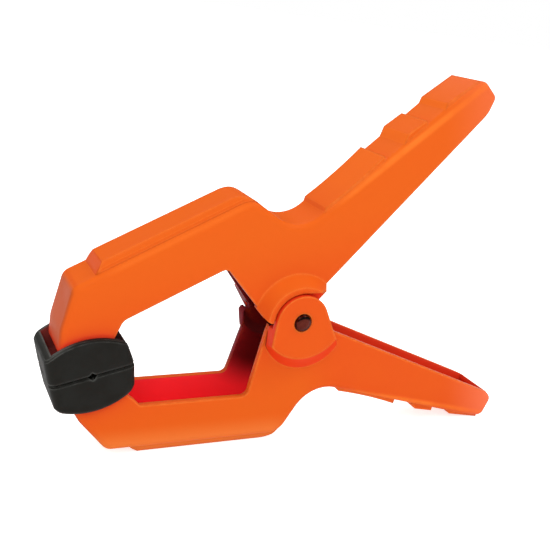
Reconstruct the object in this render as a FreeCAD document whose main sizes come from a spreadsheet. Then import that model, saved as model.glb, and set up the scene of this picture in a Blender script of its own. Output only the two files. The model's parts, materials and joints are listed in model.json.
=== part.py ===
import FreeCAD, Part
import math
import os

import Sketcher
from FreeCAD import Placement, Rotation, Vector

# Spring clamp: two identical nylon arms turned towards each other on a steel pin, a torsion
# spring that closes the jaws, and a rubber swivel pad on a cross pin at the end of each jaw.
# Each arm is drawn in its own frame: u (X) runs from the jaw to the handle, v (Z) points
# away from the other arm, and w (Y) is across. The pin's axis is the frame's origin.

# Driving dimensions, millimetres and degrees
SIZES = {
    "pivot_x": -6.12,
    "arm_width": 19.2,
    "wall": 2.2,
    "edge_round": 2.2,
    "pin_radius": 3.2,
    "pin_clearance": 0.05,
    "pin_length": 32.4,
    "pin_chamfer": 0.5,
    "ear_radius": 9.65,
    "ear_foot_radius": 12.0,
    "ear_bottom_radius": 16.1,
    "ear_face": 15.6,
    "ear_plate": 2.7,
    "inner_ear_radius": 8.7,
    "inner_ear_face": 12.6,
    "inner_ear_plate": 2.6,
    "rim_radius": 15.6,
    "rim_top_radius": 12.2,
    "rim_face": 14.5,
    "recess_radius": 10.1,
    "pivot_bay_radius": 11.4,
    "bay_slope_length": 17.0,
    "web_setback": 3.9,
    "panel_width": 14.6,
    "panel_length": 75.0,
    "grip_width": 16.2,
    "scoop_radius": 180.0,
    "pad_pin_radius": 1.5,
    "pad_pin_length": 19.0,
    "pad_pin_chamfer": 0.3,
    "pad_width": 23.4,
    "pad_corner": 2.6,
    "pad_edge": 0.6,
    "pad_arch_radius": 23.3,
    "pad_bore_width": 19.8,
    "lug_width": 8.0,
    "lug_radius": 3.3,
    "lug_clearance": 0.06,
    "wire": 2.2,
    "coil_radius": 6.0,
    "coil_span": 11.8,
    "coil_turns": 4,
    "leg_angle": 46.0,
    "leg_length": 46.8,
    "wire_sides": 8,
}

# Corners of the side view of one arm, (u, v) from the pin's axis, going round from the nose
CORNERS = {
    "nose_back": (-68.6, 4.6),
    "nose_front": (-74.4, 4.6),
    "nose_edge": (-80.4, 8.6),
    "brow": (-78.2, 16.4),
    "knuckle": (-71.6, 29.5),
    "hump": (-10.3, 44.4),
    "waist": (4.6, 28.9),
    "grip_end": (70.0, 64.6),
    "tip_top": (79.8, 68.9),
    "tip_low": (84.9, 61.8),
    "tip_inner": (82.8, 58.5),
    "handle_root": (1.4, 1.0),
    "jaw_root": (-9.9, 0.6),
    "throat": (-22.3, 23.7),
    "jaw_bend": (-58.6, 15.1),
    "jaw_heel": (-63.4, 8.7),
    # raised panel on the jaw's outer face
    "panel_toe": (-64.3, 31.2),
    "panel_front": (-61.3, 34.9),
    "panel_hump": (-12.4, 46.8),
    "panel_end": (-6.6, 40.5),
    "panel_under_end": (-12.0, 38.0),
    "panel_under_toe": (-62.0, 28.5),
    # one sloping side of the panel, as (w, distance from the pin's axis square to the panel)
    "bevel_top": (6.3, 48.5),
    "bevel_foot": (7.3, 46.9),
    "bevel_out": (9.0, 46.9),
    "bevel_out_top": (9.0, 50.0),
    "bevel_in_top": (6.3, 50.0),
    # first finger grip, hollowed for the forefinger
    "grip_a_foot": (14.0, 33.2),
    "grip_a_start": (15.3, 35.8),
    "grip_a_stop": (38.6, 49.2),
    "grip_a_heel": (39.4, 47.4),
    # second finger grip
    "grip_b_foot": (46.0, 50.8),
    "grip_b_start": (48.4, 55.0),
    "grip_b_stop": (55.9, 58.4),
    "grip_b_heel": (56.7, 56.6),
    # third finger grip, which runs into the tip
    "grip_c_foot": (62.6, 59.8),
    "grip_c_start": (64.5, 62.9),
    "grip_c_stop": (77.6, 68.7),
    "grip_c_heel": (78.6, 66.4),
    # outer ear, at its face and at its foot on the arm's side
    "ear_right": (9.508, -1.648),
    "ear_left": (-8.878, -3.783),
    "ear_low_left": (-12.1, 5.9),
    "ear_low_right": (12.1, 9.6),
    "foot_right": (12.0, 2.0),
    "foot_left": (-9.6, -2.0),
    "foot_low_left": (-12.2, 7.6),
    "foot_low_right": (15.4, 15.6),
    # inside of the outer ear's bulge
    "bay_right": (8.8, 1.0),
    "bay_left": (-8.7, -1.0),
    "bay_low_left": (-10.3, 6.2),
    "bay_low_right": (9.0, 8.0),
    # sloping part of that hollow, as (w, v)
    "bay_top": (12.7, 5.0),
    "bay_slope_top": (12.7, 10.6),
    "bay_slope_foot": (6.4, 17.8),
    "bay_foot": (6.4, 5.0),
    # room for the other arm's outer ear inside the rim
    "recess_top": (0.0, 10.1),
    "recess_right": (2.2, 10.0),
    "recess_far_right": (13.5, 7.3),
    "recess_low_right": (13.5, -6.0),
    "recess_low_left": (-12.6, -4.0),
    "recess_left": (-9.1, 4.6),
    # the other arm's side of the pin, cut clear of both bulges
    "free_root": (0.6, 0.25),
    "free_jaw_root": (-10.6, 0.45),
    "free_throat": (-19.1, 17.0),
    "free_low_left": (-19.1, -24.0),
    "free_low_right": (24.0, -24.0),
    "free_handle": (24.0, 16.74),
    # the end of the rim, cut off square on the jaw's side
    "rim_end_top": (-9.15, 2.2),
    "rim_end_knee": (-10.9, 2.2),
    "rim_end_out": (-12.2, 3.4),
    "rim_end_far": (-16.0, 3.4),
    "rim_end_low": (-16.0, -6.0),
    "rim_end_inside": (-9.15, -6.0),
    # the throat's wider cut in the wall that carries the outer ear
    "wide_heel": (-60.6, 12.0),
    "wide_bend": (-58.2, 16.3),
    "wide_throat": (-23.0, 24.7),
    "wide_throat_end": (-20.2, 23.3),
    "wide_root": (-11.2, 3.0),
    "wide_inside": (-40.0, 3.0),
    # gripping pad, side view
    "pad_low_front": (-85.1, 0.1),
    "pad_low_back": (-57.5, 0.1),
    "pad_back": (-58.7, 7.9),
    "pad_front": (-84.9, 8.7),
    "pad_bore_front": (-82.3, 3.2),
    "pad_bore_front_top": (-82.3, 20.0),
    "pad_bore_back_top": (-50.0, 20.0),
    "pad_bore_back_sill": (-50.0, 6.0),
    "pad_bore_sill": (-60.7, 6.0),
    "pad_bore_back": (-60.7, 3.2),
    "groove_front": (-73.2, 0.0),
    "groove_back": (-69.8, 0.0),
    "groove_top": (-71.5, 1.4),
    "lug_front": (-74.8, 8.0),
    "lug_front_foot": (-74.8, 2.0),
    "lug_back_foot": (-68.2, 2.0),
    "lug_back": (-68.2, 8.0),
    "swivel": (-71.5, 8.0),
}
CORNER_ROUNDS = {
    "nose_edge": 3.0,
    "brow": 12.0,
    "knuckle": 4.0,
    "hump": 7.0,
    "waist": 13.4,
    "tip_top": 3.0,
    "tip_low": 2.5,
    "throat": 2.5,
    "jaw_bend": 4.0,
    "jaw_heel": 3.0,
}
ARM_OUTLINE = ["nose_back", "nose_front", "nose_edge", "brow", "knuckle", "hump", "waist", "grip_end",
               "tip_top", "tip_low", "tip_inner", "handle_root", "jaw_root", "throat", "jaw_bend", "jaw_heel"]
# The web: the part of the outline that the U-shaped channel closes
WEB = ["nose_front", "nose_edge", "brow", "knuckle", "hump", "waist", "grip_end", "tip_top", "tip_low", "tip_inner"]

doc = FreeCAD.newDocument("spring_clamp")
sheet = doc.addObject("Spreadsheet::Sheet", "Dimensions")


def fill_sheet():
    """Write every driving dimension into the sheet, one row each, with its name as alias."""
    cells = dict(SIZES)
    for name, (across, outward) in CORNERS.items():
        cells[name + "_u"] = across
        cells[name + "_v"] = outward
    for name, radius in CORNER_ROUNDS.items():
        cells[name + "_round"] = radius
    cells["rest_angle"] = "=atan((panel_hump_v - panel_front_v) / (panel_hump_u - panel_front_u))"
    cells["pivot_height"] = "=(panel_front_v - panel_front_u * tan(rest_angle)) * cos(rest_angle)"
    for row, (alias, value) in enumerate(cells.items(), start=1):
        sheet.set("A%d" % row, alias)
        sheet.set("B%d" % row, str(value))
        sheet.setAlias("B%d" % row, alias)
    doc.recompute()


def size(alias):
    return float(sheet.get(alias))


def corner(name):
    return Vector(size(name + "_u"), size(name + "_v"), 0)


def cell(alias):
    return "Dimensions.%s * 1 mm" % alias


def origin_plane(body, role):
    return next(item for item in body.Origin.OriginFeatures if item.Role == role)


def new_sketch(body, name, role="XZ_Plane", lift=None):
    """A sketch on one of the body's own planes; lift is an expression along its normal."""
    sketch = body.newObject("Sketcher::SketchObject", name)
    sketch.AttachmentSupport = (origin_plane(body, role), [""])
    sketch.MapMode = "FlatFace"
    if lift:
        sketch.setExpression("AttachmentOffset.Base.z", lift)
    return sketch


def bulging_arc(start, stop, radius):
    """The arc of under half a turn between two points; a negative radius bulges to the left.

    A sketch holds every arc anticlockwise, so one that bulges to the left runs from stop to start.
    """
    chord = stop - start
    middle = (start + stop) * 0.5
    across = Vector(chord.y, -chord.x, 0).normalize()
    rise = abs(radius) - math.sqrt(radius ** 2 - (chord.Length / 2) ** 2)
    if radius > 0:
        return Part.Arc(start, middle + across * rise, stop)
    return Part.Arc(stop, middle - across * rise, start)


def outline_sketch(body, name, corners, arcs=None, role="XZ_Plane", lift=None, share=1.0, mirrored=False):
    """A closed outline through named corners, each held by its two cells of the sheet.

    arcs gives, for a stretch that starts at a corner, the cell of its radius and its side;
    share draws the whole outline a little smaller about the pin, and mirrored turns it over.
    """
    flip = Vector(-1, 1, 1) if mirrored else Vector(1, 1, 1)
    arcs = arcs or {}
    sketch = new_sketch(body, name, role, lift)
    points = [Vector(corner(item).x * flip.x, corner(item).y, 0) * share for item in corners]
    count = len(corners)
    for index, item in enumerate(corners):
        start, stop = points[index], points[(index + 1) % count]
        if item in arcs:
            alias, side = arcs[item]
            sketch.addGeometry(bulging_arc(start, stop, size(alias) * side * share), False)
        else:
            sketch.addGeometry(Part.LineSegment(start, stop), False)
    ends = []
    for index, item in enumerate(corners):
        turned = item in arcs and arcs[item][1] < 0
        ends.append((2, 1) if turned else (1, 2))
    for index in range(count):
        following = (index + 1) % count
        sketch.addConstraint(Sketcher.Constraint("Coincident", index, ends[index][1], following, ends[following][0]))
    for index, item in enumerate(corners):
        hold_point(sketch, index, ends[index][0], item, share, flip)
        if item in arcs:
            alias = arcs[item][0]
            number = sketch.addConstraint(Sketcher.Constraint("Radius", index, size(alias) * share))
            sketch.setExpression("Constraints[%d]" % number, "%s * %s" % (cell(alias), share))
    return sketch


def hold_point(sketch, geometry, end, name, share=1.0, flip=Vector(1, 1, 1)):
    """Tie a point of the sketch to the two cells of a named corner."""
    for kind, suffix, scale in (("DistanceX", "_u", share * flip.x), ("DistanceY", "_v", share)):
        rule = Sketcher.Constraint(kind, -1, 1, geometry, end, size(name + suffix) * scale)
        number = sketch.addConstraint(rule)
        sketch.setExpression("Constraints[%d]" % number, "%s * %s" % (cell(name + suffix), scale))


def circle_sketch(body, name, radius, centre=None, role="XZ_Plane", lift=None, radius_expression=None):
    """A circle on the pin's axis, or on another named centre."""
    sketch = new_sketch(body, name, role, lift)
    middle = corner(centre) if centre else Vector(0, 0, 0)
    sketch.addGeometry(Part.Circle(middle, Vector(0, 0, 1), radius), False)
    number = sketch.addConstraint(Sketcher.Constraint("Radius", 0, radius))
    sketch.setExpression("Constraints[%d]" % number, radius_expression)
    if centre:
        hold_point(sketch, 0, 3, centre)
    else:
        sketch.addConstraint(Sketcher.Constraint("Coincident", 0, 3, -1, 1))
    return sketch


def extrude(body, kind, name, sketch, length, both_sides=False, reverse=False):
    """A Pad or a Pocket of a sketch, to one side of its plane or to both."""
    feature = body.newObject("PartDesign::" + kind, name)
    feature.Profile = sketch
    feature.SideType = "Symmetric" if both_sides else "One side"
    feature.Reversed = reverse
    feature.setExpression("Length", length)
    doc.recompute()
    return feature


def cross_edge(shape, name):
    """The name of the edge across the arm that stands at a corner of the outline."""
    at = corner(name)
    for number, edge in enumerate(shape.Edges, start=1):
        ends = [vertex.Point for vertex in edge.Vertexes]
        if len(ends) == 2 and all(abs(p.x - at.x) < 0.01 and abs(p.z - at.y) < 0.01 for p in ends):
            return "Edge%d" % number
    raise RuntimeError("no edge at " + name)


def round_edges(body, base, name, edges, radius):
    """Fillet the named edges of a feature, with the radius from the sheet."""
    feature = body.newObject("PartDesign::Fillet", name)
    feature.Base = (base, edges)
    feature.setExpression("Radius", radius)
    doc.recompute()
    return feature


def inset_chain(names, distance):
    """The corners of an open outline moved inwards by a distance, on the side of the channel."""
    points = [corner(name) for name in names]
    moved = []
    for index, here in enumerate(points):
        normals = []
        for start, stop in ((index - 1, index), (index, index + 1)):
            if start >= 0 and stop < len(points):
                along = (points[stop] - points[start]).normalize()
                normals.append(Vector(along.y, -along.x, 0))
        if len(normals) == 1:
            moved.append(here + normals[0] * distance)
        else:
            bisector = normals[0] + normals[1]
            moved.append(here + bisector * (distance / (1 + normals[0].dot(normals[1]))))
    return moved


def number_sketch(body, name, points, lift=None):
    """A closed outline through points that are worked out from the sheet."""
    sketch = new_sketch(body, name, lift=lift)
    for index, start in enumerate(points):
        stop = points[(index + 1) % len(points)]
        sketch.addGeometry(Part.LineSegment(start, stop), False)
    for index in range(len(points)):
        following = (index + 1) % len(points)
        sketch.addConstraint(Sketcher.Constraint("Coincident", index, 2, following, 1))
    return sketch


def ring_profile(body, name, radii_and_depths):
    """A closed profile of (radius, w) points for a ring turned about the pin's axis."""
    sketch = new_sketch(body, name, "XY_Plane")
    points = [Vector(radius, depth, 0) for radius, depth in radii_and_depths]
    for index, start in enumerate(points):
        sketch.addGeometry(Part.LineSegment(start, points[(index + 1) % len(points)]), False)
    for index in range(len(points)):
        following = (index + 1) % len(points)
        sketch.addConstraint(Sketcher.Constraint("Coincident", index, 2, following, 1))
    return sketch


def turn(body, kind, name, sketch):
    """A Revolution or Groove of a sketch about the pin's axis, all the way round."""
    feature = body.newObject("PartDesign::" + kind, name)
    feature.Profile = sketch
    feature.ReferenceAxis = (origin_plane(body, "Y_Axis"), [""])
    feature.Angle = 360
    doc.recompute()
    return feature


def arm_blank(body):
    """The side view drawn out to the arm's width, with the corners of its outer line rounded."""
    outline = outline_sketch(body, "side_view", ARM_OUTLINE)
    blank = extrude(body, "Pad", "blank", outline, "Dimensions.arm_width", both_sides=True)
    return round_corners(body, blank, [name for name in CORNER_ROUNDS if name in WEB])


def round_corners(body, blank, names):
    """Fillet the edges across the arm at the named corners, each with its own radius."""
    for name in names:
        edges = [cross_edge(blank.Shape, name)]
        blank = round_edges(body, blank, name + "_fillet", edges, "Dimensions.%s_round" % name)
    return blank


def arm_long_edges(body, blank):
    """Round the two long edges of the web, from the nose to the tip, then the inner corners."""
    half = size("arm_width") / 2
    chosen = []
    for number, edge in enumerate(blank.Shape.Edges, start=1):
        ends = [vertex.Point for vertex in edge.Vertexes]
        middle = edge.valueAt((edge.FirstParameter + edge.LastParameter) / 2)
        on_side = all(abs(abs(p.y) - half) < 0.01 for p in ends)
        if on_side and outside_web(middle):
            chosen.append("Edge%d" % number)
    blank = round_edges(body, blank, "long_edges", chosen, "Dimensions.edge_round")
    return round_corners(body, blank, [name for name in CORNER_ROUNDS if name not in WEB])


def outside_web(point):
    """True where a point of the side view lies on the web's outer line, rounds included."""
    line = [corner(name) for name in WEB]
    here = Vector(point.x, point.z, 0)
    reach = 4.2
    for start, stop in zip(line, line[1:]):
        along = stop - start
        share = max(0.0, min(1.0, (here - start).dot(along) / along.dot(along)))
        if (start + along * share - here).Length < reach:
            return True
    return False


def arm_panel_and_grips(body):
    """The raised panel on the jaw and the three finger grips on the handle."""
    panel = ["panel_toe", "panel_front", "panel_hump", "panel_end", "panel_under_end", "panel_under_toe"]
    outline = outline_sketch(body, "panel_view", panel)
    feature = extrude(body, "Pad", "panel", outline, "Dimensions.panel_width", both_sides=True)
    edge = [cross_edge(feature.Shape, "panel_hump")]
    round_edges(body, feature, "panel_hump_fillet", edge, "Dimensions.hump_round * 1.25")
    names = ["bevel_top", "bevel_foot", "bevel_out", "bevel_out_top", "bevel_in_top"]
    for side in (1, -1):
        bevel = outline_sketch(body, "bevel_view", names, role="YZ_Plane", mirrored=side < 0)
        bevel.AttachmentOffset = Placement(Vector(0, 0, 0), Rotation(Vector(1, 0, 0), -size("rest_angle")))
        extrude(body, "Pocket", "panel_bevel", bevel, "Dimensions.panel_length")
    for letter in "abc":
        names = ["grip_%s_%s" % (letter, place) for place in ("foot", "start", "stop", "heel")]
        arcs = {names[1]: ("scoop_radius", 1)} if letter == "a" else {}
        outline = outline_sketch(body, "grip_%s_view" % letter, names, arcs)
        extrude(body, "Pad", "grip_" + letter, outline, "Dimensions.grip_width", both_sides=True)


def arm_pivot_bulges(body):
    """The two bulges of the sides: the outer ear's, with a sloping foot, and the rim round the inner ear."""
    half = size("arm_width") / 2
    ear = ["ear_right", "ear_left", "ear_low_left", "ear_low_right"]
    foot = ["foot_right", "foot_left", "foot_low_left", "foot_low_right"]
    top = outline_sketch(body, "ear_face_view", ear, {"ear_right": ("ear_radius", -1),
                         "ear_low_left": ("ear_bottom_radius", -1)}, lift="-" + cell("ear_face"))
    low = outline_sketch(body, "ear_foot_view", foot, {"foot_right": ("ear_foot_radius", -1),
                         "foot_low_left": ("ear_bottom_radius", -1)}, lift="-Dimensions.arm_width / 2 * 1 mm")
    bulge = body.newObject("PartDesign::AdditiveLoft", "ear_bulge")
    bulge.Profile = top
    bulge.Sections = [low]
    bulge.Ruled = True
    doc.recompute()
    rim = ring_profile(body, "rim_profile", [
        (size("pin_radius") * 2, 2 - half), (size("rim_radius"), 2 - half), (size("rim_radius"), -half),
        (size("rim_top_radius"), -size("rim_face")), (size("pin_radius") * 2, -size("rim_face"))])
    turn(body, "Revolution", "rim", rim)


def arm_hollow(body):
    """The channel between the side walls, and the hollows inside the two bulges."""
    wall = size("wall")
    line = inset_chain(WEB, wall)
    line[0] = line[0] + (line[1] - line[0]).normalize() * size("web_setback")
    below_nose = Vector(line[0].x, -6, 0)
    past_tip = Vector(line[-1].x + 3, line[-1].y - 8, 0)
    centre = Vector(10, -20, 0)
    points = [below_nose] + line + [past_tip, centre]
    channel = number_sketch(body, "channel_view", points)
    extrude(body, "Pocket", "channel", channel, "Dimensions.arm_width - 2 * Dimensions.wall", both_sides=True)
    half = size("arm_width") / 2
    inner_face = size("inner_ear_face") - size("inner_ear_plate")
    bay = ring_profile(body, "rim_bay_profile", [
        (0, 0), (size("rim_radius") - 1.2, 0), (size("rim_radius") - 1.2, wall - half),
        (size("pivot_bay_radius"), -inner_face), (0, -inner_face)])
    turn(body, "Groove", "rim_bay", bay)
    names = ["bay_right", "bay_left", "bay_low_left", "bay_low_right"]
    view = outline_sketch(body, "bay_view", names, {"bay_right": ("ear_radius", -1),
                          "bay_low_left": ("ear_bottom_radius", -1)},
                          lift="-(Dimensions.ear_face - Dimensions.ear_plate) * 1 mm")
    depth = "Dimensions.ear_face - Dimensions.ear_plate - Dimensions.arm_width / 2 + Dimensions.wall + 1"
    extrude(body, "Pocket", "ear_bay", view, depth, reverse=True)
    names = ["bay_top", "bay_slope_top", "bay_slope_foot", "bay_foot"]
    slope = outline_sketch(body, "bay_slope_view", names, role="YZ_Plane")
    extrude(body, "Pocket", "ear_bay_slope", slope, "Dimensions.bay_slope_length", both_sides=True)


def arm_free_side(body):
    """Cut away what the bulges leave on the other arm's side of the pin."""
    names = ["free_root", "free_jaw_root", "free_throat", "free_low_left", "free_low_right", "free_handle"]
    free = outline_sketch(body, "free_side_view", names)
    extrude(body, "Pocket", "free_side", free, "Dimensions.ear_face * 3", both_sides=True)
    names = ["rim_end_top", "rim_end_knee", "rim_end_out", "rim_end_far", "rim_end_low", "rim_end_inside"]
    end = outline_sketch(body, "rim_end_view", names, lift="Dimensions.arm_width / 2 * 1 mm")
    extrude(body, "Pocket", "rim_end", end, "Dimensions.ear_face", reverse=True)
    names = ["wide_heel", "wide_bend", "wide_throat", "wide_throat_end", "wide_root", "wide_inside"]
    wide = outline_sketch(body, "wide_throat_view", names, {"wide_throat": ("throat_round", -1)},
                          lift="-(Dimensions.arm_width / 2 - Dimensions.wall - 1) * 1 mm")
    extrude(body, "Pocket", "wide_throat", wide, "Dimensions.wall + 2")


def arm_ears(body):
    """The flat ears themselves, and the recess in which the other arm's outer ear turns."""
    names = ["recess_top", "recess_right", "recess_far_right", "recess_low_right", "recess_low_left", "recess_left"]
    recess = outline_sketch(body, "recess_view", names, {"recess_left": ("recess_radius", -1)},
                            lift=cell("inner_ear_face"))
    extrude(body, "Pocket", "recess", recess, "Dimensions.ear_face", reverse=True)
    ear = outline_sketch(body, "outer_ear_view", ["ear_right", "ear_left", "ear_low_left", "ear_low_right"],
                         {"ear_right": ("ear_radius", -1), "ear_low_left": ("ear_bottom_radius", -1)},
                         lift="-" + cell("ear_face"), share=0.995)
    extrude(body, "Pad", "outer_ear", ear, "Dimensions.ear_plate")
    inner = circle_sketch(body, "inner_ear_view", size("inner_ear_radius"),
                          lift=cell("inner_ear_face"), radius_expression=cell("inner_ear_radius"))
    extrude(body, "Pad", "inner_ear", inner, "Dimensions.inner_ear_plate", reverse=True)


def build_arm(label):
    """One moulded arm with both ears, bored for the pivot pin and for the pad's pin."""
    body = doc.addObject("PartDesign::Body", label)
    body.Label = label
    blank = arm_blank(body)
    arm_long_edges(body, blank)
    arm_panel_and_grips(body)
    arm_pivot_bulges(body)
    arm_hollow(body)
    arm_free_side(body)
    arm_ears(body)
    bore = circle_sketch(body, "pin_bore_view", size("pin_radius") + size("pin_clearance"),
                         radius_expression="(Dimensions.pin_radius + Dimensions.pin_clearance) * 1 mm")
    extrude(body, "Pocket", "pin_bore", bore, "Dimensions.ear_face * 3", both_sides=True)
    hole = circle_sketch(body, "pad_pin_bore_view", size("pad_pin_radius"), centre="swivel",
                         radius_expression=cell("pad_pin_radius"))
    extrude(body, "Pocket", "pad_pin_bore", hole, "Dimensions.ear_face * 3", both_sides=True)
    return body


def build_pad(label):
    """One rubber pad: a boot with an arched side, a grooved sole and a lug for the swivel pin."""
    body = doc.addObject("PartDesign::Body", label)
    body.Label = label
    sides = ["pad_low_front", "pad_low_back", "pad_back", "pad_front"]
    outline = outline_sketch(body, "pad_view", sides, {"pad_back": ("pad_arch_radius", 1)})
    block = extrude(body, "Pad", "pad_block", outline, "Dimensions.pad_width", both_sides=True)
    uprights = []
    for number, edge in enumerate(block.Shape.Edges, start=1):
        ends = [vertex.Point for vertex in edge.Vertexes]
        if len(ends) == 2 and abs(ends[0].z - ends[1].z) > 5 and abs(ends[0].y - ends[1].y) < 0.01:
            uprights.append("Edge%d" % number)
    corners = round_edges(body, block, "pad_corners", uprights, "Dimensions.pad_corner")
    soles = []
    for number, face in enumerate(corners.Shape.Faces, start=1):
        if abs(face.CenterOfMass.z - size("pad_low_front_v")) < 0.01 or face.CenterOfMass.z > size("swivel_v"):
            soles.append("Face%d" % number)
    bevel = body.newObject("PartDesign::Chamfer", "pad_edges")
    bevel.Base = (corners, soles)
    bevel.setExpression("Size", "Dimensions.pad_edge")
    doc.recompute()
    names = ["pad_bore_front", "pad_bore_front_top", "pad_bore_back_top", "pad_bore_back_sill",
             "pad_bore_sill", "pad_bore_back"]
    bore = outline_sketch(body, "pad_bore_view", names)
    extrude(body, "Pocket", "pad_bore", bore, "Dimensions.pad_bore_width", both_sides=True)
    groove = outline_sketch(body, "groove_view", ["groove_front", "groove_back", "groove_top"])
    extrude(body, "Pocket", "groove", groove, "Dimensions.pad_width * 2", both_sides=True)
    names = ["lug_front", "lug_front_foot", "lug_back_foot", "lug_back"]
    lug = outline_sketch(body, "lug_view", names, {"lug_back": ("lug_radius", 1)})
    extrude(body, "Pad", "lug", lug, "Dimensions.lug_width", both_sides=True)
    hole = circle_sketch(body, "lug_bore_view", size("pad_pin_radius") + size("lug_clearance"), centre="swivel",
                         radius_expression="(Dimensions.pad_pin_radius + Dimensions.lug_clearance) * 1 mm")
    extrude(body, "Pocket", "lug_bore", hole, "Dimensions.lug_width * 2", both_sides=True)
    return body


def build_pin(label, kind, centre=None):
    """A steel pin across the clamp, with both ends chamfered."""
    body = doc.addObject("PartDesign::Body", label)
    body.Label = label
    view = circle_sketch(body, kind + "_view", size(kind + "_radius"), centre=centre,
                         radius_expression=cell(kind + "_radius"))
    rod = extrude(body, "Pad", kind + "_rod", view, "Dimensions.%s_length" % kind, both_sides=True)
    ends = ["Face%d" % number for number, face in enumerate(rod.Shape.Faces, start=1)
            if abs(abs(face.CenterOfMass.y) - size(kind + "_length") / 2) < 0.01]
    chamfer = body.newObject("PartDesign::Chamfer", kind + "_chamfer")
    chamfer.Base = (rod, ends)
    chamfer.setExpression("Size", "Dimensions.%s_chamfer" % kind)
    doc.recompute()
    return body


def spring_route():
    """Points and arcs of the wire's centre line: a leg, the close turns round the pin, the other leg."""
    radius, span = size("coil_radius"), size("coil_span")
    angle = math.radians(size("leg_angle"))
    leg = size("leg_length")
    start = math.pi * 1.5 - angle
    sweep = 2 * math.pi * size("coil_turns") + 2 * (math.pi / 2 - angle)
    return radius, span, angle, leg, start, sweep


def wound_point(radius, turn_angle, depth):
    return Vector(radius * math.cos(turn_angle), depth, radius * math.sin(turn_angle))


def build_spring(label):
    """The torsion spring: one unbroken tube swept along two legs and quarter-turn biarcs."""
    radius, span, angle, leg, start, sweep = spring_route()
    pieces = round(sweep / (math.pi / 2))
    step = sweep / pieces
    rise = span / sweep
    nodes = [wound_point(radius, start - step * index, -span / 2 + rise * step * index)
             for index in range(pieces + 1)]
    slopes = []
    for index in range(pieces + 1):
        here = start - step * index
        slope = Vector(radius * math.sin(here), rise, -radius * math.cos(here))
        if index in (0, pieces):
            slope.y = 0
        slopes.append(slope.normalize())
    edges = [Part.LineSegment(nodes[0] - slopes[0] * leg, nodes[0])]
    centre_line = [nodes[0] - slopes[0] * leg * share / 40 for share in range(40, 0, -1)]
    for index in range(pieces):
        for arc in biarc(nodes[index], slopes[index], nodes[index + 1], slopes[index + 1]):
            edges.append(arc)
            centre_line += [arc.value(arc.FirstParameter + (arc.LastParameter - arc.FirstParameter) * k / 12)
                            for k in range(12)]
    edges.append(Part.LineSegment(nodes[-1], nodes[-1] + slopes[-1] * leg))
    centre_line += [nodes[-1] + slopes[-1] * leg * share / 40 for share in range(41)]
    route = Part.Wire([edge.toShape() for edge in edges])
    section, area = wire_section(nodes[0] - slopes[0] * leg, slopes[0])
    tube = route.makePipeShell([section], True, False)
    print("spring gap %.3f mm" % (least_gap(centre_line) - size("wire")))
    print("spring volume %.1f, section times length %.1f" % (tube.Volume, area * route.Length))
    spring = doc.addObject("Part::Feature", label)
    spring.Label = label
    spring.Shape = tube
    return spring


def wire_section(centre, along):
    """The wire's end: an even polygon round its centre, square to the leg, and its area."""
    sides = int(size("wire_sides"))
    half_width = Vector(0, 1, 0) * (size("wire") / 2)
    half_height = along.cross(half_width)
    rim = []
    for index in range(sides + 1):
        around = 2 * math.pi * (index % sides) / sides
        rim.append(centre + half_width * math.cos(around) + half_height * math.sin(around))
    area = sides / 2 * math.sin(2 * math.pi / sides) * (size("wire") / 2) ** 2
    return Part.makePolygon(rim), area


def biarc(start, start_slope, stop, stop_slope):
    """Two arcs that leave start and reach stop in the given directions and meet in line."""
    chord = stop - start
    total = start_slope + stop_slope
    against = chord.dot(total)
    share = 2 * (1 - start_slope.dot(stop_slope))
    reach = (-against + math.sqrt(against ** 2 + share * chord.dot(chord))) / share
    first = start + start_slope * reach
    last = stop - stop_slope * reach
    joint = (first + last) * 0.5
    arcs = []
    for begin, knee, end in ((start, first, joint), (joint, last, stop)):
        middle = (begin + end) * 0.5
        inward = (middle - knee).normalize()
        half = (end - begin).Length / 2
        height = (middle - knee).Length
        bend = math.atan2(height, half)
        arcs.append(Part.Arc(begin, middle - inward * half * math.tan(bend / 2), end))
    return arcs


def least_gap(points):
    """The least distance between points of the centre line that lie over half a turn apart."""
    reach = [0.0]
    for before, here in zip(points, points[1:]):
        reach.append(reach[-1] + (here - before).Length)
    apart = math.pi * size("coil_radius")
    gap = 1e9
    for index, here in enumerate(points):
        for other in range(index + 1, len(points)):
            if reach[other] - reach[index] > apart:
                gap = min(gap, (points[other] - here).Length)
    return gap


def stand(piece, turned_over=False):
    """Lay the clamp on its lower panel: tip it by the panel's slope and lift the pin to its height."""
    tip = Rotation(Vector(0, 1, 0), -size("rest_angle"))
    if turned_over:
        tip = tip * Rotation(Vector(1, 0, 0), 180)
    piece.Placement = Placement(Vector(size("pivot_x"), 0, size("pivot_height")), tip)


fill_sheet()
upper_arm = build_arm("upper_arm")
lower_arm = build_arm("lower_arm")
pivot_pin = build_pin("pivot_pin", "pin")
torsion_spring = build_spring("torsion_spring")
upper_pad = build_pad("upper_pad")
lower_pad = build_pad("lower_pad")
upper_pad_pin = build_pin("upper_pad_pin", "pad_pin", centre="swivel")
lower_pad_pin = build_pin("lower_pad_pin", "pad_pin", centre="swivel")

for piece in (upper_arm, pivot_pin, torsion_spring, upper_pad, upper_pad_pin):
    stand(piece)
for piece in (lower_arm, lower_pad, lower_pad_pin):
    stand(piece, turned_over=True)
doc.recompute()

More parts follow.
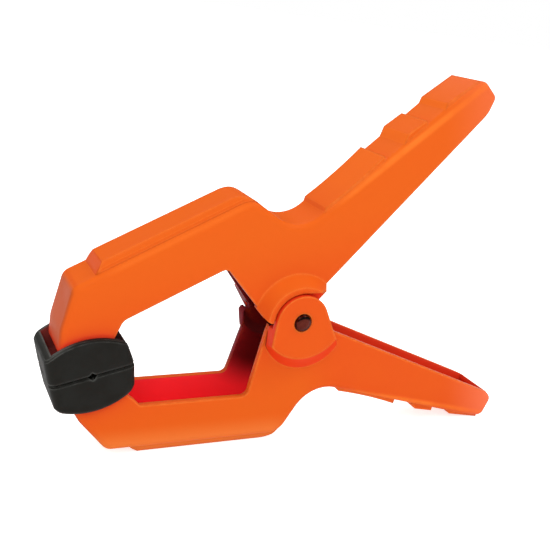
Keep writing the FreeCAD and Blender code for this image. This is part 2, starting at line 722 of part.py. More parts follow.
for item in doc.Objects:
    if "Invalid" in item.State or "Error" in item.State:
        raise RuntimeError("%s is %s" % (item.Name, item.State))
os.makedirs("parts", exist_ok=True)
for piece in (upper_arm, lower_arm, pivot_pin, torsion_spring, upper_pad, lower_pad, upper_pad_pin, lower_pad_pin):
    shape = piece.Shape
    if shape.isNull() or not shape.isValid() or len(shape.Solids) != 1:
        raise RuntimeError("%s has no single valid solid" % piece.Label)
    shape.exportStep("parts/%s.step" % piece.Label)
    points = shape.tessellate(0.05)[0]
    box = FreeCAD.BoundBox()
    for point in points:
        box.add(point)
    print("%-15s %9.1f mm3  x %7.2f %7.2f  y %7.2f %7.2f  z %7.2f %7.2f"
          % (piece.Label, shape.Volume, box.XMin, box.XMax, box.YMin, box.YMax, box.ZMin, box.ZMax))
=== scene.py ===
import json
import math

import bpy
import numpy as np
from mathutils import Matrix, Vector


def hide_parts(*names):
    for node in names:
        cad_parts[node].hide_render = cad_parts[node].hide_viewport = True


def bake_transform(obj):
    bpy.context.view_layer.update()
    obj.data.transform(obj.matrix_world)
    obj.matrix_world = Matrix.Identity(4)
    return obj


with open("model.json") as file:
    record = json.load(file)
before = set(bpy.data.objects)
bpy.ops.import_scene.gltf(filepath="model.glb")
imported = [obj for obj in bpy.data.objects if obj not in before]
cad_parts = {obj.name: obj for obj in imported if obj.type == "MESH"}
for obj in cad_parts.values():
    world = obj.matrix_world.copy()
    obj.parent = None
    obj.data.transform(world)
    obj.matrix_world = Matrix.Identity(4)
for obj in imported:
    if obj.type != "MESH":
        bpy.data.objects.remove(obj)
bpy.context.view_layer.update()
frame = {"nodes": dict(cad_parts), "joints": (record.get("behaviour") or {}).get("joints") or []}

# Camera
# The photograph looks down on the clamp from beyond the jaws, close to it, so that the
# pads look large and the handles run away from it. Place and lens come from a fit.
photo_camera = bpy.data.objects.new("photo_camera", bpy.data.cameras.new("photo_camera"))
bpy.context.scene.collection.objects.link(photo_camera)
photo_camera.data.lens = 53.869
photo_camera.data.sensor_width = 36.0
photo_camera.data.clip_start = 0.01
photo_camera.data.clip_end = 200.0
photo_camera.location = (-0.13546, -0.24295, 0.14710)
photo_camera.rotation_euler = (math.radians(72.192), math.radians(-7.528), math.radians(-24.664))
bpy.context.scene.camera = photo_camera
bpy.context.scene.view_settings.view_transform = "Standard"

# Floor
# A white table that runs out of sight on every side. The camera sees it lit from below as
# well, so that the clamp stands alone with hardly a shadow, as in the photograph.
table_reach = 60.0
table_white = (0.88, 0.88, 0.88, 1)
pure_white = (1.0, 1.0, 1.0, 1)
glow_on_clamp = 0.12
more_glow_for_camera = 0.60


def fill(tree, node, inputs):
    """Fills a node's inputs: a socket is linked to them, and anything else is set as their value."""
    for name, value in inputs.items():
        if isinstance(value, bpy.types.NodeSocket):
            tree.links.new(value, node.inputs[name])
        else:
            node.inputs[name].default_value = value


def put(tree, kind, settings, inputs):
    """Adds a node, sets its properties and fills its inputs."""
    node = tree.nodes.new(kind)
    for name, value in settings.items():
        setattr(node, name, value)
    fill(tree, node, inputs)
    return node


def new_material(name):
    """A new material, given with its node tree and its Principled shader."""
    material = bpy.data.materials.new(name)
    material.use_nodes = True
    return material, material.node_tree, material.node_tree.nodes["Principled BSDF"]


light_table, table_tree, table_shader = new_material("light_table")
seen_directly = put(table_tree, "ShaderNodeLightPath", {}, {}).outputs["Is Camera Ray"]
table_glow = put(table_tree, "ShaderNodeMath", {"operation": "MULTIPLY_ADD"},
                 {0: seen_directly, 1: more_glow_for_camera, 2: glow_on_clamp}).outputs["Value"]
fill(table_tree, table_shader, {"Base Color": table_white, "Roughness": 0.95, "Specular IOR Level": 0.1,
                                "Emission Color": pure_white, "Emission Strength": table_glow})
floor_mesh = bpy.data.meshes.new("floor")
floor_mesh.from_pydata([(-table_reach, -table_reach, 0), (table_reach, -table_reach, 0),
                        (table_reach, table_reach, 0), (-table_reach, table_reach, 0)], [], [(0, 1, 2, 3)])
floor_mesh.materials.append(light_table)
floor = bpy.data.objects.new("floor", floor_mesh)
bpy.context.scene.collection.objects.link(floor)

# Studio light
# A pale room that is a little darker on the left, so that the ends of the jaws turn
# brownish there, and three soft boxes that draw fine highlights along the rounded edges.
left_wall_light = 0.82
dim_from_x = -0.25
clamp_middle = Vector((0.0, 0.0, 0.05))
room = bpy.data.worlds.new("pale_room")
room.use_nodes = True
room_tree = room.node_tree
room_light = room_tree.nodes["Background"]
looking = put(room_tree, "ShaderNodeTexCoord", {}, {}).outputs["Generated"]
sideways = put(room_tree, "ShaderNodeSeparateXYZ", {}, {"Vector": looking}).outputs["X"]
wall_light = put(room_tree, "ShaderNodeMapRange", {"interpolation_type": "SMOOTHSTEP"},
                 {"Value": sideways, "From Min": -1.0, "From Max": dim_from_x,
                  "To Min": left_wall_light, "To Max": 1.0}).outputs["Result"]
fill(room_tree, room_light, {"Color": wall_light, "Strength": 1.0})
seen_wall = put(room_tree, "ShaderNodeBackground", {}, {"Color": pure_white})
which_ray = put(room_tree, "ShaderNodeLightPath", {}, {}).outputs["Is Camera Ray"]
wall_or_light = put(room_tree, "ShaderNodeMixShader", {},
                    {0: which_ray, 1: room_light.outputs["Background"], 2: seen_wall.outputs["Background"]})
fill(room_tree, room_tree.nodes["World Output"], {"Surface": wall_or_light.outputs["Shader"]})
bpy.context.scene.world = room
room.cycles_visibility.glossy = False


def soft_box(name, place, width, height, watts):
    """A rectangular lamp at place, turned so that its face looks at the middle of the clamp."""
    lamp = bpy.data.lights.new(name, "AREA")
    lamp.shape = "RECTANGLE"
    lamp.size = width
    lamp.size_y = height
    lamp.energy = watts
    holder = bpy.data.objects.new(name, lamp)
    bpy.context.scene.collection.objects.link(holder)
    holder.location = place
    holder.rotation_euler = (clamp_middle - Vector(place)).to_track_quat("-Z", "Y").to_euler()


soft_box("left_box", place=(-0.45, -0.54, 0.70), width=0.30, height=0.30, watts=1.3)
soft_box("right_box", place=(0.44, -0.36, 0.80), width=0.25, height=0.25, watts=1.3)
soft_box("back_strip", place=(0.10, 0.60, 0.75), width=0.80, height=0.15, watts=1.0)

# Arms
# Two identical arms of orange nylon, each moulded in one shot as a channel with ears and
# turned towards the other on the pivot pin. The moulding is satin with a fine grain. Its colour
# holds painted highlights and light on its edges and ends, and painted shade on its nose and, red to black,
# in the channel.
joint_place = {joint["name"]: tuple(joint["pos_m"]) for joint in frame["joints"]}
pivot_place = joint_place["arm_pivot"]
# the angle by which an arm leans at rest; its panel rises by that, and its grips more steeply
rest_tip = math.radians(13.677)
panel_rise = math.tan(rest_tip)
grips_rise = 0.5

# the outside: the moulding's orange, yellower further out and faintly clouded, and painted light and shade
side_orange = (0.725, 0.087, 0.0085, 1)
outer_orange = (0.735, 0.113, 0.0088, 1)
# painted light on the outer faces
outer_face_light_orange = (0.775, 0.122, 0.0085, 1)
clouded_orange = (0.755, 0.108, 0.0092, 1)
# painted highlight along the edges
edge_highlight_orange = (0.92, 0.190, 0.030, 1)
# painted sheen at the tip
tip_sheen_orange = (0.88, 0.185, 0.085, 1)
# painted shade on the nose
nose_shade_brown = (0.50, 0.074, 0.012, 1)
# painted light from the floor on the lower jaw
floor_light_orange = (0.82, 0.205, 0.040, 1)
# painted highlight along the long edge under the grips
streak_highlight_yellow = (0.90, 0.190, 0.022, 1)
# painted highlight on the ledge beside the panel
ledge_highlight_yellow = (0.86, 0.165, 0.018, 1)
# painted shade on the ramp at the panel's end
ramp_shade_red = (0.70, 0.075, 0.007, 1)
# painted light on the grips' risers
riser_light_orange = (0.88, 0.158, 0.012, 1)

# painted shade of the walls, the ears and the pads, and a painted glow in the channel
# painted shade in the channel
shade_red = (0.78, 0.040, 0.006, 1)
# painted shade at the ear's foot
ear_foot_shade_red = (0.80, 0.040, 0.009, 1)
# painted shade by the pads
pad_shade_red = (0.76, 0.035, 0.016, 1)
# painted shade, red, deep in the channel of the jaw and of the handle
jaw_channel_shade_red = (0.95, 0.028, 0.040, 1)
handle_channel_shade_red = (0.70, 0.040, 0.012, 1)
# painted shade on the far wall of the throat
far_throat_shade_brown = (0.200, 0.014, 0.022, 1)
# painted shade, nearly black, in the throat
throat_shade_black = (0.110, 0.004, 0.005, 1)
unlit = (0, 0, 0, 1)
# painted glow in the channel
painted_channel_glow = (0.070, 0.002, 0.003, 1)


def maths(tree, operation, *terms):
    """The result of one Math node over its terms."""
    return put(tree, "ShaderNodeMath", {"operation": operation}, dict(enumerate(terms))).outputs[0]


def product(tree, *terms):
    """All terms multiplied together."""
    result = terms[0]
    for term in terms[1:]:
        result = maths(tree, "MULTIPLY", result, term)
    return result


def hypotenuse(tree, first, second):
    """The root of the sum of both squares."""
    return maths(tree, "SQRT", maths(tree, "ADD", product(tree, first, first), product(tree, second, second)))


def parts(tree, vector):
    """The x, y and z of a vector."""
    return tuple(put(tree, "ShaderNodeSeparateXYZ", {}, {"Vector": vector}).outputs)


def eased(tree, value, start, end, low=0.0, high=1.0):
    """Low up to start and high from end, with a smooth step between them."""
    return put(tree, "ShaderNodeMapRange", {"interpolation_type": "SMOOTHSTEP"},
               {"Value": value, "From Min": start, "From Max": end,
                "To Min": low, "To Max": high}).outputs["Result"]


def where(tree, at, *reaches):
    """The share in which a spot lies within all reaches: the product of one smooth step for each. A
    reach names a measure of the spot, then has the start and the end of its step, and its low and
    high value where these aren't 0 and 1."""
    return product(tree, *[eased(tree, at[measure], *limits) for measure, *limits in reaches])


def tinted(tree, share, first, second):
    """The colour that goes from first to second with share."""
    return put(tree, "ShaderNodeMix", {"data_type": "RGBA"}, {0: share, 6: first, 7: second}).outputs[2]


def mottle(tree, place, scale, detail, roughness):
    """A soft noise from 0 to 1 with scale cells to the metre."""
    return put(tree, "ShaderNodeTexNoise", {}, {"Vector": place, "Scale": scale, "Detail": detail,
                                                "Roughness": roughness}).outputs["Fac"]


def openness(tree, distance, samples, own_walls_only):
    """1 in the open and towards 0 where walls stand round the spot within distance."""
    return put(tree, "ShaderNodeAmbientOcclusion", {"samples": samples, "only_local": own_walls_only},
               {"Distance": distance}).outputs["AO"]


def open_group(name, inputs, outputs):
    """A shader node group with sockets of the given kinds, given with its two end nodes."""
    group = bpy.data.node_groups.new(name, "ShaderNodeTree")
    for side, sockets in (("INPUT", inputs), ("OUTPUT", outputs)):
        for socket, kind in sockets.items():
            group.interface.new_socket(name=socket, in_out=side, socket_type="NodeSocket" + kind)
    return group, group.nodes.new("NodeGroupInput"), group.nodes.new("NodeGroupOutput")


def dress(node_name, material):
    """Gives a node of the source its finish."""
    finishes = frame["nodes"][node_name].data.materials
    finishes.clear()
    finishes.append(material)


# the mould's spark-eroded grain, with the slow waviness of a thick moulding
mould_grain, taken, given = open_group(
    "mould_grain", {"Position": "Vector", "Grain": "Float", "Ripple": "Float"},
    {"Relief": "Float", "Tone": "Float"})
grain_place = taken.outputs["Position"]
fine_grain = mottle(mould_grain, grain_place, taken.outputs["Grain"], detail=2.0, roughness=0.6)
slow_wave = mottle(mould_grain, grain_place, taken.outputs["Ripple"], detail=1.0, roughness=0.4)
patches = mottle(mould_grain, grain_place, taken.outputs["Ripple"], detail=4.0, roughness=0.62)
grain_height = product(mould_grain, fine_grain, 0.3)
fill(mould_grain, given, {"Relief": maths(mould_grain, "ADD", slow_wave, grain_height), "Tone": patches})

# edges rounded by the tool, with a patchy mask along them for painted highlights and a smoother gloss
edge_highlight, taken, given = open_group(
    "edge_highlight", {"Position": "Vector", "Breadth": "Float", "Patchiness": "Float"},
    {"Edge": "Float", "Rounded": "Vector"})
rounding = put(edge_highlight, "ShaderNodeBevel", {"samples": 8},
               {"Radius": taken.outputs["Breadth"]}).outputs["Normal"]
true_face = put(edge_highlight, "ShaderNodeNewGeometry", {}, {}).outputs["Normal"]
likeness = put(edge_highlight, "ShaderNodeVectorMath", {"operation": "DOT_PRODUCT"},
               {0: rounding, 1: true_face}).outputs["Value"]
turned_away = eased(edge_highlight, likeness, 0.999, 0.90)
patch_noise = mottle(edge_highlight, taken.outputs["Position"], 420.0, detail=3.0, roughness=0.6)
missed = eased(edge_highlight, patch_noise, 0.62, 0.30)
edge_highlight_share = maths(edge_highlight, "SUBTRACT", 1.0, product(edge_highlight, missed, taken.outputs["Patchiness"]))
fill(edge_highlight, given, {"Edge": product(edge_highlight, turned_away, edge_highlight_share), "Rounded": rounding})


def measures_on_arm(tree, turned_over):
    """What the masks measure at a spot, in metres in the arm's own axes: along the arm from the pivot
    pin to the handle's tip, across it, and outward from the other arm. With them come the spot's
    facing, from -1 to 1, how open it is, from 0 to 1, and what the two groups give there."""
    look = put(tree, "ShaderNodeTexCoord", {}, {}).outputs
    turn = (math.pi if turned_over else 0.0, -rest_tip, 0.0)
    spot = put(tree, "ShaderNodeMapping", {"vector_type": "TEXTURE"},
               {"Vector": look["Object"], "Location": pivot_place, "Rotation": turn}).outputs["Vector"]
    way = put(tree, "ShaderNodeMapping", {"vector_type": "TEXTURE"},
              {"Vector": look["Normal"], "Rotation": turn}).outputs["Vector"]
    along, across, outward = parts(tree, spot)
    facing_along, facing_across, facing_out = parts(tree, way)
    grain = put(tree, "ShaderNodeGroup", {"node_tree": mould_grain},
                {"Position": spot, "Grain": 3200.0, "Ripple": 70.0}).outputs
    edge = put(tree, "ShaderNodeGroup", {"node_tree": edge_highlight},
               {"Position": spot, "Breadth": 0.0016, "Patchiness": 0.45}).outputs
    room = openness(tree, 0.030, 12, own_walls_only=True)
    return {
        "along": along,
        "across": across,
        "aside": maths(tree, "ABSOLUTE", across),
        "outward": outward,
        "from_pin": hypotenuse(tree, along, outward),
        "above_panel": maths(tree, "MULTIPLY_ADD", along, -panel_rise, outward),
        "above_grips": maths(tree, "MULTIPLY_ADD", along, -grips_rise, outward),
        "to_back": parts(tree, look["Object"])[1],
        "facing_along": facing_along,
        "facing_out": facing_out,
        "facing_aside": maths(tree, "ABSOLUTE", facing_across),
        "facing_from_middle": product(tree, facing_across, across),
        "room": room,
        "elbow_room": openness(tree, 0.020, 12, own_walls_only=False),
        "gap": openness(tree, 0.007, 8, own_walls_only=False),
        "relief": grain["Relief"],
        "tone": grain["Tone"],
        "open_edge": product(tree, edge["Edge"], eased(tree, room, 0.55, 0.85)),
        "rounded": edge["Rounded"],
    }


def outside_with_painted_light(tree, at, tip_sheen, floor_light, handle_share):
    """The moulding's orange, yellower further out from the other arm, faintly clouded, and with painted
    light: lighter outer faces, edge highlights, a sheen at the tip, shade on the nose and floor light on
    the jaw. The last three arguments say how much tip sheen, floor light and yellower handle it shows."""
    toward_outer_edge = where(tree, at, ("outward", 0.004, 0.034), ("along", -0.002, 0.016, 1.0, handle_share))
    painted_outer_face_light = where(tree, at, ("facing_out", 0.35, 0.85, 0.0, 0.9))
    clouds = where(tree, at, ("tone", 0.30, 0.70, 0.0, 0.30))
    edge_highlight_share = product(tree, at["open_edge"], 0.75)
    painted_tip_sheen = where(tree, at, ("along", 0.060, 0.090, 0.0, tip_sheen))
    painted_nose_shade = where(tree, at, ("facing_along", -0.55, -0.95), ("along", -0.062, -0.072))
    painted_floor_light = where(tree, at, ("above_panel", 0.0375, 0.0470), ("along", 0.000, -0.014, 0.0, floor_light))
    orange = side_orange
    for share, colour in ((toward_outer_edge, outer_orange), (painted_outer_face_light, outer_face_light_orange), (clouds, clouded_orange),
                          (edge_highlight_share, edge_highlight_orange), (painted_tip_sheen, tip_sheen_orange), (painted_nose_shade, nose_shade_brown),
                          (painted_floor_light, floor_light_orange)):
        orange = tinted(tree, share, orange, colour)
    return orange


def painted_highlights_and_shade(tree, at, orange):
    """The orange with painted highlights in yellow on the long edge under the grips and the ledge beside
    the panel, painted shade that reddens the ramp at the panel's end, and painted light on the grips' risers."""
    painted_streak_highlight = where(tree, at, ("above_grips", 0.0250, 0.0268), ("above_grips", 0.0288, 0.0274),
                 ("aside", 0.0078, 0.0092), ("tone", 0.25, 0.60, 0.45, 1.0),
                 ("along", 0.016, 0.026), ("along", 0.085, 0.050, 0.30, 0.85))
    painted_ledge_highlight = where(tree, at, ("above_panel", 0.0448, 0.0462), ("above_panel", 0.0484, 0.0472),
                  ("aside", 0.0072, 0.0082), ("along", -0.008, -0.018), ("along", -0.064, -0.054, 0.0, 0.38))
    painted_ramp_shade = where(tree, at, ("facing_along", -0.20, -0.60), ("above_panel", 0.0464, 0.0470),
                 ("along", -0.040, -0.050, 0.0, 0.7))
    painted_riser_light = where(tree, at, ("facing_along", -0.30, -0.75), ("along", 0.015, 0.025, 0.0, 0.7))
    for share, colour in ((painted_streak_highlight, streak_highlight_yellow), (painted_ledge_highlight, ledge_highlight_yellow), (painted_ramp_shade, ramp_shade_red),
                          (painted_riser_light, riser_light_orange)):
        orange = tinted(tree, share, orange, colour)
    return orange


def inner_share(tree, at):
    """1 on the inner faces and 0 on the outer ones: the outsides of the walls, what faces outward,
    the panel, the grips and the top of the hump."""
    outside = where(tree, at, ("aside", 0.00735, 0.0077), ("aside", 0.0101, 0.0097))
    facing_outward = where(tree, at, ("facing_out", 0.05, 0.30))
    on_panel = where(tree, at, ("above_panel", 0.0456, 0.0463))
    on_hump = where(tree, at, ("outward", 0.029, 0.030), ("room", 0.50, 0.62),
                    ("along", -0.020, -0.016), ("along", 0.022, 0.018))
    on_grips = where(tree, at, ("along", 0.025, 0.030), ("above_grips", 0.0267, 0.0274))
    for outer_face in (facing_outward, on_panel, on_hump, on_grips):
        outside = maths(tree, "MAXIMUM", outside, outer_face)
    return maths(tree, "SUBTRACT", 1.0, outside)


def painted_shade_in_channel(tree, at, orange):
    """The orange with painted shade: red in the channel, at the ear's foot and by the pad, and
    nearly black in the throat by the pin. Also gives the share of the painted glow in the channel."""
    inside = inner_share(tree, at)
    away_from_pin = where(tree, at, ("from_pin", 0.022, 0.030))
    open_here = maths(tree, "MINIMUM", at["room"], maths(tree, "MAXIMUM", at["elbow_room"], away_from_pin))
    open_here = maths(tree, "ADD", open_here, where(tree, at, ("aside", 0.0095, 0.0099, 0.0, 0.12)))
    channel_shade = product(tree, eased(tree, open_here, 0.94, 0.72), inside)
    ear_foot_shade = where(tree, at, ("across", 0.0096, 0.0100), ("across", 0.0153, 0.0146, 0.0, 0.85))
    pad_shade = where(tree, at, ("gap", 0.99, 0.70, 0.0, 0.80), ("above_panel", 0.0435, 0.0415),
                   ("along", -0.052, -0.066))
    deep_channel_shade = product(tree, where(tree, at, ("room", 0.90, 0.62), ("aside", 0.0080, 0.0075)), inside)
    in_handle = where(tree, at, ("along", 0.008, 0.024))
    channel_shade_red = tinted(tree, in_handle, jaw_channel_shade_red, handle_channel_shade_red)
    throat = where(tree, at, ("from_pin", 0.0375, 0.0235), ("along", 0.009, -0.003))
    far_wall = where(tree, at, ("to_back", 0.0068, 0.0078), ("facing_out", 0.35, 0.0),
                     ("facing_aside", 0.5, 0.3))
    squeezed = where(tree, at, ("elbow_room", 0.92, 0.70), ("aside", 0.0102, 0.0100),
                     ("facing_from_middle", 0.003, 0.0))
    throat_shade = product(tree, throat, maths(tree, "MAXIMUM", deep_channel_shade, squeezed))
    colour = orange
    for share, darker in ((channel_shade, shade_red), (ear_foot_shade, ear_foot_shade_red), (pad_shade, pad_shade_red),
                          (deep_channel_shade, channel_shade_red), (product(tree, throat, far_wall), far_throat_shade_brown),
                          (throat_shade, throat_shade_black)):
        colour = tinted(tree, share, colour, darker)
    covered = maths(tree, "MAXIMUM", throat_shade, in_handle)
    return colour, product(tree, deep_channel_shade, maths(tree, "SUBTRACT", 1.0, covered))


def moulded_nylon(name, turned_over, tip_sheen, floor_light, handle_share):
    """Satin orange nylon for one arm: its colour with painted light and shade, its gloss and grain, and the
    painted glow in its channel.
    """
    nylon, tree, shader = new_material(name)
    at = measures_on_arm(tree, turned_over)
    orange = painted_highlights_and_shade(tree, at, outside_with_painted_light(tree, at, tip_sheen, floor_light, handle_share))
    colour, glow_share = painted_shade_in_channel(tree, at, orange)
    satin = where(tree, at, ("tone", 0.25, 0.75, 0.34, 0.46))
    polished = maths(tree, "MULTIPLY_ADD", at["open_edge"], -0.08, satin)
    relief = put(tree, "ShaderNodeBump", {}, {"Strength": 0.35, "Distance": 0.00006,
                                              "Height": at["relief"], "Normal": at["rounded"]})
    fill(tree, shader, {"Base Color": colour, "Roughness": polished, "Specular IOR Level": 0.05,
                        "Emission Color": tinted(tree, glow_share, unlit, painted_channel_glow),
                        "Emission Strength": 1.0, "Normal": relief.outputs["Normal"]})
    return nylon


dress("upper_arm", moulded_nylon("upper_arm_nylon", turned_over=False,
                                 tip_sheen=0.45, floor_light=0.0, handle_share=1.0))
dress("lower_arm", moulded_nylon("lower_arm_nylon", turned_over=True,
                                 tip_sheen=0.85, floor_light=0.85, handle_share=0.0))

# Pads
# Black rubber boots, moulded round the ends of the jaws with bevelled soles and a groove for
# round stock. The rubber is matt and faintly clouded, with painted highlights along its front edges,
# painted light on the upper front faces, and a painted red reflection of the jaw inside the boot.
rubber_black = (0.0082, 0.0072, 0.0050, 1)
rubber_grey = (0.0125, 0.0124, 0.0105, 1)
# painted highlight on the front edges and painted light on the upper front faces
pad_highlight_grey = (0.125, 0.128, 0.118, 1)
# painted red reflection of the jaw inside the boot
jaw_reflection_red = (0.290, 0.048, 0.040, 1)
groove_place = (Vector(joint_place["upper_pad_swivel"]) + Vector(joint_place["lower_pad_swivel"])) / 2

boot_rubber, rubber_tree, rubber_shader = new_material("boot_rubber")
rubber_look = put(rubber_tree, "ShaderNodeTexCoord", {}, {}).outputs
rubber_along, rubber_across, rubber_height = parts(rubber_tree, rubber_look["Object"])
along_from_groove = maths(rubber_tree, "SUBTRACT", rubber_along, groove_place.x)
height_from_groove = maths(rubber_tree, "SUBTRACT", rubber_height, groove_place.z)
rubber_grain = put(rubber_tree, "ShaderNodeGroup", {"node_tree": mould_grain},
                   {"Position": rubber_look["Object"], "Grain": 2400.0, "Ripple": 150.0}).outputs
rubber_edge = put(rubber_tree, "ShaderNodeGroup", {"node_tree": edge_highlight},
                  {"Position": rubber_look["Object"], "Breadth": 0.0012, "Patchiness": 0.6}).outputs
on_pad = {
    "facing_along": parts(rubber_tree, rubber_look["Normal"])[0],
    "aside": maths(rubber_tree, "ABSOLUTE", rubber_across),
    "height": rubber_height,
    "from_groove": maths(rubber_tree, "MAXIMUM", maths(rubber_tree, "ABSOLUTE", along_from_groove),
                         maths(rubber_tree, "ABSOLUTE", height_from_groove)),
    "room": openness(rubber_tree, 0.020, 12, own_walls_only=True),
    "tone": rubber_grain["Tone"],
}
clouded = where(rubber_tree, on_pad, ("tone", 0.32, 0.68))
# painted highlight along the front edges
painted_pad_highlight = product(rubber_tree, rubber_edge["Edge"],
                  where(rubber_tree, on_pad, ("facing_along", -0.2, -0.6, 0.45, 1.0)))
# painted light on the upper front faces
painted_front_light = where(rubber_tree, on_pad, ("facing_along", -0.2, -0.6), ("height", 0.036, 0.043, 0.0, 0.85))
# painted red reflection of the jaw inside the boot
painted_jaw_reflection = where(rubber_tree, on_pad, ("room", 0.75, 0.45), ("from_groove", 0.0020, 0.0028),
                ("aside", 0.0106, 0.0102))
rubber_colour = rubber_black
for share, colour in ((clouded, rubber_grey), (painted_pad_highlight, pad_highlight_grey), (painted_front_light, pad_highlight_grey),
                      (painted_jaw_reflection, jaw_reflection_red)):
    rubber_colour = tinted(rubber_tree, share, rubber_colour, colour)
rubber_relief = put(rubber_tree, "ShaderNodeBump", {}, {"Strength": 0.5, "Distance": 0.00008,
                                                        "Height": rubber_grain["Relief"],
                                                        "Normal": rubber_edge["Rounded"]})
fill(rubber_tree, rubber_shader, {"Base Color": rubber_colour, "Specular IOR Level": 0.14,
                                  "Roughness": where(rubber_tree, on_pad, ("tone", 0.25, 0.75, 0.50, 0.66)),
                                  "Normal": rubber_relief.outputs["Normal"]})
dress("upper_pad", boot_rubber)
dress("lower_pad", boot_rubber)

# Pivot pin and pad pins
# Turned steel rod. The pivot pin is browned and its ends are faced and slightly crowned; the
# short cross pins of the pads are bright.
browned = (0.090, 0.0140, 0.0085, 1)
browned_stain = (0.120, 0.0200, 0.0125, 1)
bright = (0.42, 0.41, 0.39, 1)
bright_stain = (0.30, 0.28, 0.26, 1)
pivot_pin_radius = 0.0032
pad_pin_radius = 0.0015
tool_mark_depth = 0.000004
rim_darkness = 0.35
crowned_fall = 1.2e7
flat_fall = 0.0

# marks of the turning tool, in rings round the pin's axis, which is y, and fine scratches across them
turned_face, taken, given = open_group(
    "turned_face", {"Position": "Vector", "Rings": "Float"},
    {"Relief": "Float", "Radius": "Float", "Tone": "Float"})
face_x, face_z = parts(turned_face, taken.outputs["Position"])[::2]
face_radius = hypotenuse(turned_face, face_x, face_z)
rings = maths(turned_face, "SINE", product(turned_face, face_radius, taken.outputs["Rings"]))
scratches = mottle(turned_face, taken.outputs["Position"], 2600.0, detail=3.0, roughness=0.7)
stains = mottle(turned_face, taken.outputs["Position"], 700.0, detail=3.0, roughness=0.6)
fill(turned_face, given, {"Relief": maths(turned_face, "ADD", product(turned_face, rings, 0.5), scratches),
                          "Radius": face_radius, "Tone": stains})


def pin_steel(name, centre, radius, plain, stained, fall):
    """Turned steel with a film of oil, round the line across the clamp through centre, from plain to
    stained and darker at the rim. A face falls away by fall times the fourth power of the radius."""
    steel, tree, shader = new_material(name)
    place = put(tree, "ShaderNodeTexCoord", {}, {}).outputs["Object"]
    from_centre = put(tree, "ShaderNodeMapping", {"vector_type": "TEXTURE"},
                      {"Vector": place, "Location": centre})
    face = put(tree, "ShaderNodeGroup", {"node_tree": turned_face},
               {"Position": from_centre.outputs["Vector"], "Rings": 9000.0}).outputs
    rim_colour = tuple(rim_darkness * share for share in plain[:3]) + (1,)
    colour = tinted(tree, eased(tree, face["Tone"], 0.35, 0.65), plain, stained)
    colour = tinted(tree, eased(tree, face["Radius"], radius * 0.80, radius, 0.0, 0.6), colour, rim_colour)
    crown = product(tree, maths(tree, "POWER", face["Radius"], 4.0), -fall)
    relief = maths(tree, "MULTIPLY_ADD", face["Relief"], tool_mark_depth, crown)
    shaped = put(tree, "ShaderNodeBump", {}, {"Strength": 1.0, "Distance": 1.0, "Height": relief})
    fill(tree, shader, {"Base Color": colour, "Metallic": 1.0, "Coat Weight": 0.08, "Coat Roughness": 0.12,
                        "Roughness": eased(tree, face["Tone"], 0.3, 0.7, 0.17, 0.28),
                        "Normal": shaped.outputs["Normal"]})
    return steel


dress("pivot_pin", pin_steel("pivot_pin_steel", pivot_place, pivot_pin_radius,
                             browned, browned_stain, crowned_fall))
for pad in ("upper_pad", "lower_pad"):
    dress(pad + "_pin", pin_steel(pad + "_pin_steel", joint_place[pad + "_swivel"], pad_pin_radius,
                                  bright, bright_stain, flat_fall))

# Torsion spring
# Cold drawn steel wire, wound four times and a quarter round the pivot pin, with one straight
# leg lying in each handle.
wire_radius = 0.0011
wire_sides = 18
coil_radius = 0.0060
coil_span = 0.0118
full_turns = 4
levelling_angle = 0.6
leg_length = 0.0468
leg_angle = math.radians(46.0)
# the leg's first points, as shares of its length, and how far its cut ends are rounded off
close_to_coil = [0.004, 0.010]
cut_narrowing = 0.3
cut_length = 0.0003
die_line_scale = (60.0, 24.0, 1.0)
steel_grey = (0.40, 0.40, 0.41, 1)
oiled_grey = (0.25, 0.24, 0.235, 1)


def distance_along(line):
    """How far along the line each of its points lies, from the lengths of its runs added up."""
    return np.concatenate([[0.0], np.cumsum(np.linalg.norm(np.diff(line, axis=0), axis=1))])


def wound_line(coil_points, leg_points):
    """Centre line of the wire. The coil's point at angle a is radius times (cos a, sin a) round the
    pin, while its depth rises evenly from one side to the other and levels out at both ends; the
    legs leave the coil straight on, level across the clamp."""
    swept = 2 * math.pi * full_turns + 2 * (math.pi / 2 - leg_angle)
    begin = 1.5 * math.pi - leg_angle
    gone = np.linspace(0.0, swept, coil_points)
    levelled = np.clip(np.minimum(gone, swept - gone) / levelling_angle, 0.0, 1.0)
    depth = np.cumsum(levelled * levelled * (3 - 2 * levelled))
    depth = coil_span * ((depth - depth[0]) / (depth[-1] - depth[0]) - 0.5)
    angle = begin - gone
    coil = np.stack([coil_radius * np.cos(angle), depth, coil_radius * np.sin(angle)], axis=1)
    first_way = np.array([math.sin(angle[0]), 0.0, -math.cos(angle[0])])
    last_way = np.array([math.sin(angle[-1]), 0.0, -math.cos(angle[-1])])
    leg_shares = np.concatenate([close_to_coil, np.linspace(2 * close_to_coil[-1], 1.0, leg_points)])
    first_leg = coil[0] - np.outer(leg_length * leg_shares[::-1], first_way)
    last_leg = coil[-1] + np.outer(leg_length * leg_shares, last_way)
    return np.concatenate([first_leg, coil, last_leg])


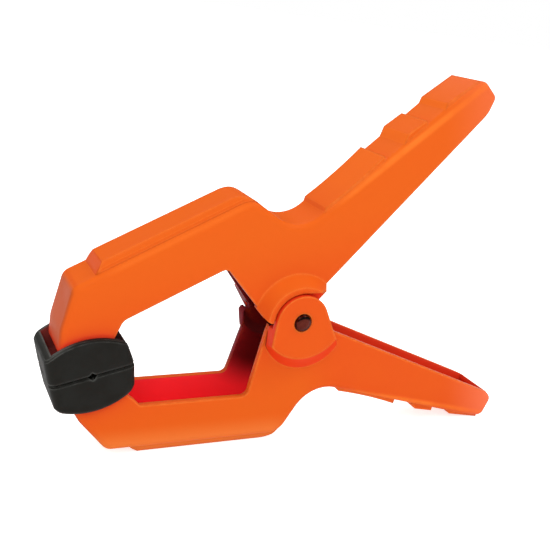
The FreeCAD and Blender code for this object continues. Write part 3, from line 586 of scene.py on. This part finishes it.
def wire_along(line, radii, sides):
    """Tube: round each point of line a ring of its radius, in the plane square to the line there,
    with the ring's corners numbered the same way all along, and both ends closed by a face. The
    map's u is the distance along the wire and its v the share of the way round."""
    way = np.gradient(line, axis=0)
    way /= np.linalg.norm(way, axis=1, keepdims=True)
    across = np.cross(way, np.array([0.0, 1.0, 0.0]))
    across /= np.linalg.norm(across, axis=1, keepdims=True)
    level = np.cross(way, across)
    turn = np.linspace(0.0, 2 * math.pi, sides, endpoint=False)
    ring = np.cos(turn)[None, :, None] * across[:, None] + np.sin(turn)[None, :, None] * level[:, None]
    points = (line[:, None] + radii[:, None, None] * ring).reshape(-1, 3)
    row = np.arange(len(line) - 1)[:, None] * sides
    here = np.arange(sides)[None, :]
    beside = (here + 1) % sides
    quads = np.stack([row + here, row + beside, row + sides + beside, row + sides + here], axis=2)
    last = (len(line) - 1) * sides
    ends = [list(range(sides))[::-1], list(range(last, last + sides))]
    reach = distance_along(line)
    start, stop = reach[:-1, None], reach[1:, None]
    share = here / sides
    next_share = (here + 1) / sides
    corners = np.stack([np.stack(np.broadcast_arrays(start, share), 2),
                        np.stack(np.broadcast_arrays(start, next_share), 2),
                        np.stack(np.broadcast_arrays(stop, next_share), 2),
                        np.stack(np.broadcast_arrays(stop, share), 2)], axis=2)
    return points, quads.reshape(-1, 4), ends, corners.reshape(-1, 2)


spring_line = wound_line(coil_points=260, leg_points=26)
spring_reach = distance_along(spring_line)
to_end = np.minimum(spring_reach, spring_reach[-1] - spring_reach)
spring_radii = wire_radius * (1 - cut_narrowing * np.exp(-to_end / cut_length))
spring_points, spring_quads, spring_ends, spring_corners = wire_along(spring_line, spring_radii, wire_sides)
tip_turn = np.array([[math.cos(rest_tip), 0.0, -math.sin(rest_tip)],
                     [0.0, 1.0, 0.0],
                     [math.sin(rest_tip), 0.0, math.cos(rest_tip)]])
spring_points = spring_points @ tip_turn.T + np.array(pivot_place)
spring_mesh = bpy.data.meshes.new("wound_spring")
spring_mesh.from_pydata(spring_points.tolist(), [], spring_quads.tolist() + spring_ends)
spring_marks = spring_mesh.uv_layers.new(name="along_wire")
spring_uv = np.zeros((len(spring_mesh.loops), 2), dtype=np.float32)
spring_uv[:len(spring_corners)] = spring_corners
spring_marks.data.foreach_set("uv", spring_uv.ravel())
spring_mesh.polygons.foreach_set("use_smooth", np.array([True] * len(spring_quads) + [False, False]))
wound_spring = bpy.data.objects.new("wound_spring", spring_mesh)
bpy.context.scene.collection.objects.link(wound_spring)

# fine lines drawn along the wire by the die, under a patchy film of oil
drawn_wire, wire_tree, wire_shader = new_material("drawn_wire")
wire_map = put(wire_tree, "ShaderNodeUVMap", {"uv_map": "along_wire"}, {}).outputs["UV"]
stretched = put(wire_tree, "ShaderNodeMapping", {}, {"Vector": wire_map, "Scale": die_line_scale})
die_lines = mottle(wire_tree, stretched.outputs["Vector"], 1.0, detail=4.0, roughness=0.65)
wire_place = put(wire_tree, "ShaderNodeTexCoord", {}, {}).outputs["Object"]
oiled = eased(wire_tree, mottle(wire_tree, wire_place, 320.0, detail=3.0, roughness=0.6), 0.35, 0.65)
wire_relief = put(wire_tree, "ShaderNodeBump", {}, {"Strength": 0.4, "Distance": 0.00003,
                                                    "Height": die_lines})
fill(wire_tree, wire_shader, {"Base Color": tinted(wire_tree, oiled, steel_grey, oiled_grey), "Metallic": 1.0,
                              "Roughness": eased(wire_tree, die_lines, 0.25, 0.75, 0.24, 0.44),
                              "Normal": wire_relief.outputs["Normal"]})
spring_mesh.materials.append(drawn_wire)
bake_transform(wound_spring)
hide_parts("torsion_spring")
